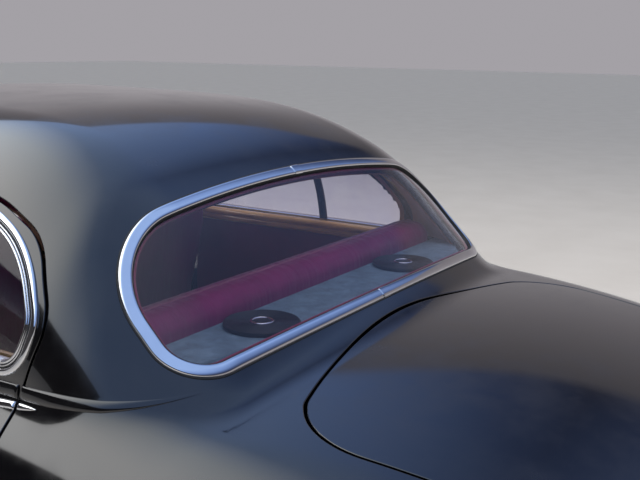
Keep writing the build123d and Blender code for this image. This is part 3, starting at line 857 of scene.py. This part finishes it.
# Painted panels
body_grid = cut(lambda p: EDGE - WINDOW_HOLE - window_distance(p),
                lambda p: PANEL_GAP + EDGE - door_distance(p), lambda p: PANEL_GAP + EDGE - lid_distance(p),
                lambda p: EDGE - wheel_distance(p), front_post)
piece("body_skin", panel(skin, *body_grid, wall_depth, rolled(EDGE)), "paint",
      ("roof_panel", "rear_quarter_left", "rear_quarter_right", "rear_shroud", "tail_panel", "sill_left",
       "sill_right"))
lid_grid = cut(lambda p: lid_distance(p) + EDGE)
piece("lid_skin", panel(skin, *lid_grid, WALL, rolled(EDGE)), "paint", ("boot_lid",), "boot_lid")
door_grid = cut(on_right(door_distance), lambda p: EDGE - distance_to(light_line, p[:, 1:]))
both_sides("door_skin", panel(skin, *door_grid, wall_depth, rolled(EDGE, 10, 12)), "paint", ("rear_door",))
COVER_SUNK, COVER_THICK = 3, 20
cover_grid = cut(on_right(lambda p: wheel_distance(p) + PANEL_GAP))
cover_shape = panel(sunk(skin, COVER_SUNK), *cover_grid, COVER_THICK, rolled(EDGE))
both_sides("wheel_cover_skin", cover_shape, "paint", ("wheel_cover",), on_door=False)


def outward(path, up):
    """1 where the positive side of a profile carried round a closed path is outside it, else -1."""
    middle = path.mean(0)
    moved = sweep(path, up, [(10, 0)], caps=False)[0]
    spread = [np.linalg.norm(line - middle, axis=1).mean() for line in (moved, path)]
    return np.sign(spread[0] - spread[1])


# Rear window: bright surround in two halves, joint covers, rubber, leather welt and glass
lower_joint = np.argmin(np.abs(window_line[:, 0]) + 1000 * (window_line[:, 1] > 200))
ring_line = np.roll(window_line, -lower_joint, axis=0)
band_path, band_up = on_window(None)(ring_line)
top_joint = np.argmin(np.abs(ring_line[:, 0]) + 1000 * (ring_line[:, 1] < 200))
halves = (np.arange(0, top_joint + 1), np.arange(top_joint, len(ring_line) + 1) % len(ring_line))
for rows, side in zip(halves, ("right", "left") if ring_line[5, 0] > 0 else ("left", "right")):
    piece(f"window_band_{side}", sweep(band_path[rows], band_up[rows], oval(12, 5.5, 3, 18), closed=False),
          "chrome", (f"window_bright_{side}",))
covers = []
for middle in (0, top_joint):
    rows = (middle + np.arange(-2, 3)) % len(ring_line)
    covers.append(sweep(band_path[rows], band_up[rows], oval(13, 7, 3, 18), closed=False))
piece("band_joint_covers", joined(*covers), "chrome", ("bright_joint_covers",))
SEAL = np.array([(-15, 0), (-14.2, 1.6), (-12, 2.2), (12, 2.2), (13.2, 1.2), (13.8, -3), (13.8, -12),
                 (9, -12), (8, 0)])
way = outward(band_path, band_up)
piece("window_rubber", sweep(band_path, band_up, SEAL * (-way, 1)), "rubber", ("rear_window_seal",))
piece("window_welt", sweep(band_path, band_up, ring(3.2) + (-15.5 * way, -13)), "leather",
      finish=side_leather)
PANE_DEPTH, PANE_THICK, PANE_INSET = 4, 5, 11
pane_params, pane_triangles = grid(np.linspace(-620, 620, 84), np.linspace(-20, 360, 28), True)
pane_grid = trimmed(pane_params, pane_triangles, distance_to(window_line, pane_params) + PANE_INSET)
pane_surface = on_window(form(CABIN_ROWS, CABIN_ARCS, PANE_DEPTH))
piece("window_pane", panel(pane_surface, *pane_grid, PANE_THICK, rolled(1)), "glass", ("rear_window_glass",))

# Roof lining: cloth just inside the wall, from the shelf up and round the windows. Each door has the same
# cloth on its inner side, round its window and above the wood rail
LINING_FOOT, LINING_THICK, TRIM_THICK = 656.5, 4.5, 3
LINING_OVER_WINDOW, LINING_FROM_DOOR, TRIM_IN_DOOR, TRIM_FROM_LIGHT = 10, 15, 14, 3
lining = polar(form(CABIN_ROWS, CABIN_ARCS, WALL + 0.5))


def lined(stations, angles, *distances):
    """Grid of the lining above its foot, trimmed by distances."""
    params, triangles = grid(stations, angles)
    return cut(lambda p: LINING_FOOT - p[:, 2], *distances,
               params=params, triangles=triangles, surface=lining)


lining_grid = lined(np.linspace(60, FRONT_EDGE, 110), np.linspace(-1.38, 1.38, 190),
                    lambda p: -LINING_OVER_WINDOW - window_distance(p),
                    lambda p: LINING_FROM_DOOR - distance_to(door_line, p[:, 1:]))
piece("roof_cloth_lining", panel(lining, *lining_grid, LINING_THICK, rolled(1)), "headlining",
      ("roof_lining",))
trim_grid = lined(np.linspace(250, 1095, 90), np.linspace(0.45, 1.38, 100),
                  lambda p: door_distance(p) + TRIM_IN_DOOR,
                  lambda p: TRIM_FROM_LIGHT - distance_to(light_line, p[:, 1:]))
both_sides("door_lining", panel(lining, *trim_grid, TRIM_THICK, rolled(1)), "headlining")

# Side windows in the doors: bright frames, rubber, bar and panes, and a dark brown cover of painted shade on
# the bar's inner side
light_surface = on_side(None)
light_path, light_up = light_surface(light_line)
light_way = outward(light_path, light_up)


def band_between(low, high, rise, drop, count=12):
    """Crowned profile between two distances outside the side window's line."""
    profile = oval((high - low) / 2, rise, drop, count) + ((low + high) / 2, 0)
    return profile * (light_way, 1)


outer_ring = sweep(light_path, light_up, band_between(9, 22, 5, 3, 16))
inner_ring = sweep(light_path, light_up, band_between(-4, 1.5, 3.2, 24))
middle_ring = sweep(light_path, light_up, band_between(2.6, 6, 3.4, 8))
light_rubber = sweep(light_path, light_up, band_between(0.5, 10, 1.2, 8))
BAR_FOOT, BAR_SLOPE = 592, 0.09
bar_height = np.linspace(RAIL_HEIGHT - 3, 932, 24)
bar_rows = np.stack([BAR_FOOT + BAR_SLOPE * (bar_height - RAIL_HEIGHT), bar_height], 1)
bar_path, bar_up = light_surface(bar_rows)
bar_shape = sweep(bar_path - 4 * bar_up, bar_up, oval(8.5, 6, 8, 12), closed=False)
# Painted shade: a dark cover along the bar's inner side, where the chrome bar is in shade
bar_shade_shape = sweep(bar_path - 12.5 * bar_up, -bar_up, oval(13, 8, 3, 12), closed=False)
both_sides("side_frame", joined(outer_ring, middle_ring, inner_ring, bar_shape), "chrome",
           ("door_window_frame",))
both_sides("side_rubber", light_rubber, "rubber")
both_sides("bar_painted_shade", bar_shade_shape, "chrome", finish=bar_shade_metal)
SIDE_PANE_DEPTH, SIDE_PANE_INSET, BAR_SIDE = 14, 3, 7
glass_surface = on_side(form(CABIN_ROWS, CABIN_ARCS, SIDE_PANE_DEPTH))
side_params, side_triangles = grid(np.linspace(240, 1090, 60), np.linspace(640, 960, 26), True)
inset = distance_to(light_line, side_params) + SIDE_PANE_INSET
side_params, side_triangles = trimmed(side_params, side_triangles, inset)
beyond_bar = side_params[:, 0] - (BAR_FOOT + BAR_SLOPE * (side_params[:, 1] - RAIL_HEIGHT))
for name, way_along in (("quarter_glass", 1), ("door_glass", -1)):
    rows = trimmed(side_params, side_triangles, way_along * beyond_bar + BAR_SIDE)
    both_sides(f"{name}_pane", panel(glass_surface, *rows, PANE_THICK, rolled(1)), "glass", (name,))

# Waist: a raised bead that fades out behind the door, and a bright strip under it that ends in a point
WAIST_BEAD = np.array([
    (15, 636, 2, 0), (45, 631, 4, 1.4), (80, 626.5, 7, 3), (130, 621.5, 10, 4.4), (225, 618.5, 12.3, 5.5),
    (350, 614.5, 12.3, 5.5), (600, 612, 12.3, 5.5), (1098, 611, 12.3, 5.5),
], float)
WAIST_STRIP = np.array([
    (252, 598, 0.6, 0.4), (262, 597.2, 3, 2.4), (280, 595.8, 5.5, 4), (300, 594.4, 7, 4.6),
    (344, 591, 8, 4.8), (500, 588, 8, 4.8), (1098, 586, 8, 4.8),
], float)


def moulding(rows, start, end):
    """Crowned moulding on the side of the body between two stations: its height, half width and rise
    come from the rows, and its ends are rounded off over their last few millimetres."""
    y = np.linspace(start, end, int((end - start) / 6) + 8)
    y = np.sort(np.concatenate([y, start + np.array((0.4, 1.2, 2.6)), end - np.array((0.4, 1.2, 2.6))]))
    z, half, rise = (np.interp(y, rows[:, 0], rows[:, k]) for k in (1, 2, 3))
    path, up = on_side(None)(np.stack([y, z], 1))
    near = np.minimum(np.minimum(y - start, end - y) / 4, 1)
    round_off = np.sqrt(np.maximum(1 - (1 - near)**2, 0.01))
    profile = oval(1, 1, 0, 12, 0.8)[None] * np.stack([half, rise * round_off], 1)[:, None]
    profile[:, -2:, 1] -= 3
    return sweep(path, up, profile, closed=False)


QUARTER_END, DOOR_START, DOOR_END = 294, 301.5, 1097
for name, rows, slot in (("waist_bead", WAIST_BEAD, "paint"), ("waist_strip", WAIST_STRIP, "chrome")):
    both_sides(f"{name}_rear", moulding(rows, rows[0, 0], QUARTER_END), slot, on_door=False)
    both_sides(f"{name}_door", moulding(rows, DOOR_START, DOOR_END), slot)

# Wood rail: a crowned capping with one groove, on the inner side of the door below its window
RAIL_PROFILE = np.array([
    (0, 654.7), (-9, 654.7), (-15, 651), (-18.5, 645), (-19, 638), (-16.5, 633.5), (-13.5, 632), (-16, 630.5),
    (-17.5, 626), (-16.5, 618), (-12.5, 614), (-7, 613), (0, 613),
])
RAIL_HALF = 671
rail_y = np.linspace(311.5, 1074, 90)[:, None]
rail_rings = np.stack(np.broadcast_arrays(RAIL_HALF + RAIL_PROFILE[:, 0], rail_y, RAIL_PROFILE[:, 1]), 2)
both_sides("wood_rail", skinned(rail_rings, False), "wood", ("door_wood_rail",), sharp=50)

# Shelf speakers: ribbed grille with a bright ring round its middle dome
RIBS = [(71 - 1.8 * k, 9 + 1.6 * (k % 2) - 0.06 * k) for k in range(25)]
GRILLE = [(0, 0), (73, 0), (75, 2), (75, 8), (73, 10)] + RIBS + [(24, 8), (14, 11), (0, 12)]
dome_ring = np.column_stack([ring(21, 48), np.full(48, 9.5)])
upright = np.tile((0, 0, 1.0), (48, 1))
for hand, side in ((1, "right"), (-1, "left")):
    centre = np.array((hand * 295, 106, 655.3))
    piece(f"speaker_grille_{side}", turned(GRILLE, centre), "speaker", ("speakers",) if hand > 0 else ())
    piece(f"speaker_ring_{side}", sweep(centre + dome_ring, upright, ring(2.4)), "chrome")

# Tail lamps: ribbed lens in a bright bezel; the lens sits on the solid's place
RIDGES = [(8 + 2.6 * k, 0.4 + 0.030 * (2.6 * k)**1.75 - 0.9 * (k % 2)) for k in range(1, 11)]
LENS = [(0, 0), (8, 0.4)] + RIDGES + [(36, 17), (36, 66), (0, 66)]
BEZEL = np.array([(36.4, 18), (36.4, 14), (37.5, 11.5), (39.2, 12), (40, 15), (40, 64), (36.4, 64)])
across, up = (spoke[:, None] * BEZEL[:, 0] for spoke in ring(1, 72).T)
bezel_rings = np.stack([across, np.broadcast_to(BEZEL[:, 1], across.shape), up], 2)
for hand, side in ((1, "right"), (-1, "left")):
    centre = np.array((575 * hand, -1211, 236))
    lens = turned(LENS, centre, (0, 1, 0), 72)
    piece(f"lamp_lens_{side}", lens, "lamp", ("tail_lamps",) if hand > 0 else ())
    piece(f"lamp_bezel_{side}", skinned(centre + bezel_rings, True), "chrome")

# Padded seats, as side profiles of corners: rear back with its roll, rear cushion, and the back of the front
# seat at the section's open end, which stands on the floor and rises to the shelf's level
BACK_CORNERS = [(360.3, 232.3, 6), (182.3, 641, 30), (182.3, 708, 40), (274.3, 708, 44), (330, 610, 120),
                (470, 232.3, 24)]
CUSHION_CORNERS = [(472, 233, 20), (472, 382, 42), (880, 382, 46), (880, 233, 20)]
FRONT_CORNERS = [(1100, 34.3, 20), (1012, 650, 200), (1016, 726, 40), (1108, 726, 46), (1160, 560, 200),
                 (1208, 34.3, 20)]
TIP_POWER, CORD = 2.4, 2.6


def padded_rings(corners, half, end, pitch, groove, front, rows=400):
    """Cushion along the car's width: its side profile shrinks towards both ends as an oval does. Sewn
    channels, one hollow every pitch, cross the part ahead of a station, and uneven low wrinkles the rest."""
    line = rounded(corners, 5.0)
    middle = line.mean(0)
    x = np.sin(np.linspace(-np.pi / 2, np.pi / 2, rows)) * half
    tip = np.clip((np.abs(x) - (half - end)) / end, 0, 1)
    shrink = (1 - tip**TIP_POWER * 0.999)**(1 / TIP_POWER)
    arm = line - middle
    size = np.linalg.norm(arm, axis=1)
    pull = 1 - (1 - shrink[:, None]) * np.minimum(end / size, 1)
    channel = groove * np.exp(-(((x / pitch + 0.5) % 1 - 0.5) / 0.10)**2)
    wave = 0.45 * np.sin(x / 9.3 + 2.1 * np.sin(x / 57))
    wave += 0.35 * np.sin(x / 4.1 + 2.6 * np.sin(x / 33) + 1.3)
    ahead = np.clip((line[:, 0] - front) / 20, 0, 1)
    pull -= (channel[:, None] * ahead - wave[:, None] * (1 - ahead) * shrink[:, None]) / size
    flat = middle + arm * pull[..., None]
    return np.concatenate([np.broadcast_to(x[:, None, None], flat.shape[:2] + (1,)), flat], 2)


def cushion(name, rings, place, stands_for=()):
    """Leather pad with a cord sewn along it, over the point of its profile that is nearest to a place. The
    cord's paler leather is a painted highlight along the pad's upper edge.
    """
    pad = piece(f"{name}_pad", skinned(rings, False), "leather", stands_for, sharp=60)
    row = np.argmin(np.linalg.norm(rings[len(rings) // 2, :, 1:] - place, axis=1))
    path = spaced(rings[2:-2, row], 6.0, closed=False)
    cord = sweep(path, np.tile((0, 0, 1.0), (len(path), 1)), ring(CORD, 10), closed=False)
    piece(f"{name}_piping", cord, "leather", finish=piping_highlight_leather)


cushion("seat_back", padded_rings(BACK_CORNERS, 611, 34, 72, 3.0, 262), (240, 708), ("rear_seat_back",))
cushion("seat_cushion", padded_rings(CUSHION_CORNERS, 639, 40, 76, 3.0, 500), (868, 372),
        ("rear_seat_cushion",))
cushion("front_seat", padded_rings(FRONT_CORNERS, 636, 70, 106, 8.0, 1130, 300), (1034, 726))

# Floor, lamp, world and camera
FLOOR_HALF, FLOOR_LEVEL = 40, -0.001
floor_finish = Finish("pale_floor", Roughness=0.9)
floor_finish.shade(floor_finish.noise(3, 4), (0.3, (0.68, 0.62, 0.56)), (0.7, (0.72, 0.66, 0.60)))
floor_mesh = bpy.data.meshes.new("studio_floor")
floor_mesh.from_pydata([(x * FLOOR_HALF, y * FLOOR_HALF, FLOOR_LEVEL)
                        for x, y in ((-1, -1), (1, -1), (1, 1), (-1, 1))], [], [(0, 1, 2, 3)])
floor_mesh.materials.append(floor_finish.material)
studio_floor = bpy.data.objects.new("studio_floor", floor_mesh)
bpy.context.scene.collection.objects.link(studio_floor)

# Soft rectangular lamp overhead. It isn't mirrored: the world is, so gloss has no hard patch
LAMP_PLACE, LAMP_TARGET = Vector((1.0, -0.3, 6.0)), Vector((0, -0.2, 0.6))
lamp_data = bpy.data.lights.new("key_lamp", "AREA")
lamp_data.shape = "RECTANGLE"
lamp_data.size, lamp_data.size_y = 6.0, 5.0
lamp_data.energy = 250
key_lamp = bpy.data.objects.new("key_lamp", lamp_data)
key_lamp.location = LAMP_PLACE
key_lamp.rotation_euler = (LAMP_TARGET - LAMP_PLACE).to_track_quat("-Z", "Y").to_euler()
key_lamp.visible_glossy = False
key_lamp.visible_transmission = False
bpy.context.scene.collection.objects.link(key_lamp)

# The world lights the object evenly. Camera and transmitted rays see a pale wall under a blue sky; mirrored
# rays see that sky brighten towards the front left, and the wall fall to shade on the left side
world = bpy.data.worlds.new("studio")
world.use_nodes = True
w = Nodes(world.node_tree)
even_light = w.nodes["Background"]
even_light.inputs["Color"].default_value = (0.72, 0.78, 0.88, 1)
even_light.inputs["Strength"].default_value = 0.6
direction = w.node("TexCoord").outputs["Generated"]
ray_x, ray_y, ray_z = w.node("SeparateXYZ", {0: direction}).outputs


def glowing(colour, **strength):
    """Background light of a colour that follows the direction."""
    return w.node("Background", {"Color": colour, **strength}).outputs[0]


def either(factor, a, b):
    """Light that goes over from one background to another."""
    return w.node("MixShader", {0: factor, 1: a, 2: b}).outputs[0]


backdrop = glowing(w.ramp(
    ray_z, (0.0, (0.37, 0.355, 0.38)), (0.20, (0.37, 0.355, 0.38)), (0.215, (0.80, 0.88, 1.0)),
    (0.30, (0.36, 0.43, 0.60)), (0.44, (0.13, 0.17, 0.28)), (0.70, (0.17, 0.22, 0.36)),
    (0.88, (0.62, 0.70, 0.84)), (1.0, (1.0, 1.0, 1.0))))
front_left = w.node("VectorMath", {0: direction}, operation="DOT_PRODUCT")
front_left.inputs[1].default_value = (-0.35, 0.75, 0.56)
ahead_glow = front_left.outputs["Value"]
behind_glow = w.math("MINIMUM", w.math("ADD", ahead_glow, w.mapped(ray_y, 0.10, -0.25, 0, 0.5)), 0.5)
glow = w.math("MAXIMUM", ahead_glow, behind_glow)
mirrored_sky = glowing(w.ramp(
    glow, (0.0, (0.03, 0.04, 0.08)), (0.15, (0.08, 0.12, 0.26)), (0.35, (0.22, 0.34, 0.68)),
    (0.60, (0.42, 0.60, 1.0)), (0.80, (0.85, 0.92, 1.0)), (0.95, (1.0, 1.0, 1.0))),
    Strength=w.mapped(glow, 0.62, 0.95, 1.0, 2.6))
wall_height = w.math("SUBTRACT", ray_z, w.math("MULTIPLY", ray_y, 0.12))
mirrored_wall = glowing(w.ramp(
    wall_height, (0.0, (0.36, 0.34, 0.36)), (0.12, (0.34, 0.32, 0.34)), (0.25, (0.27, 0.25, 0.27)),
    (0.40, (0.20, 0.185, 0.20))), Strength=w.mapped(ray_x, -0.5, 0.2, 0.12, 1.0))
mirrored = either(w.mapped(wall_height, 0.40, 0.42, 0, 1), mirrored_wall, mirrored_sky)
rays = w.node("LightPath").outputs
seen = w.math("MAXIMUM", rays["Is Camera Ray"], rays["Is Transmission Ray"])
shown = either(seen, either(rays["Is Glossy Ray"], even_light.outputs[0], mirrored), backdrop)
w.links.new(shown, w.nodes["World Output"].inputs[0])
bpy.context.scene.world = world
bpy.context.scene.view_settings.view_transform = "Standard"

# Camera at the photograph's viewing angle: turned from the car's front, tipped down and rolled a little
TURN, TIP, ROLL = 1.006, 0.216, 0.012
EYE = (-1.632, -0.873, 1.190)
FOCUS, PICTURE_WIDTH, SENSOR = 894, 640, 36
ahead = np.array((np.sin(TURN) * np.cos(TIP), np.cos(TURN) * np.cos(TIP), -np.sin(TIP)))
level = np.array((np.cos(TURN), -np.sin(TURN), 0))
upward = np.cross(level, ahead)
camera_x = level * np.cos(ROLL) + upward * np.sin(ROLL)
camera_y = upward * np.cos(ROLL) - level * np.sin(ROLL)
pose = Matrix.Identity(4)
for row in range(3):
    pose[row][0], pose[row][1], pose[row][2] = camera_x[row], camera_y[row], -ahead[row]
    pose[row][3] = EYE[row]
camera_data = bpy.data.cameras.new("camera")
camera_data.lens = FOCUS * SENSOR / PICTURE_WIDTH
camera = bpy.data.objects.new("camera", camera_data)
camera.matrix_world = pose
bpy.context.scene.collection.objects.link(camera)
bpy.context.scene.camera = camera
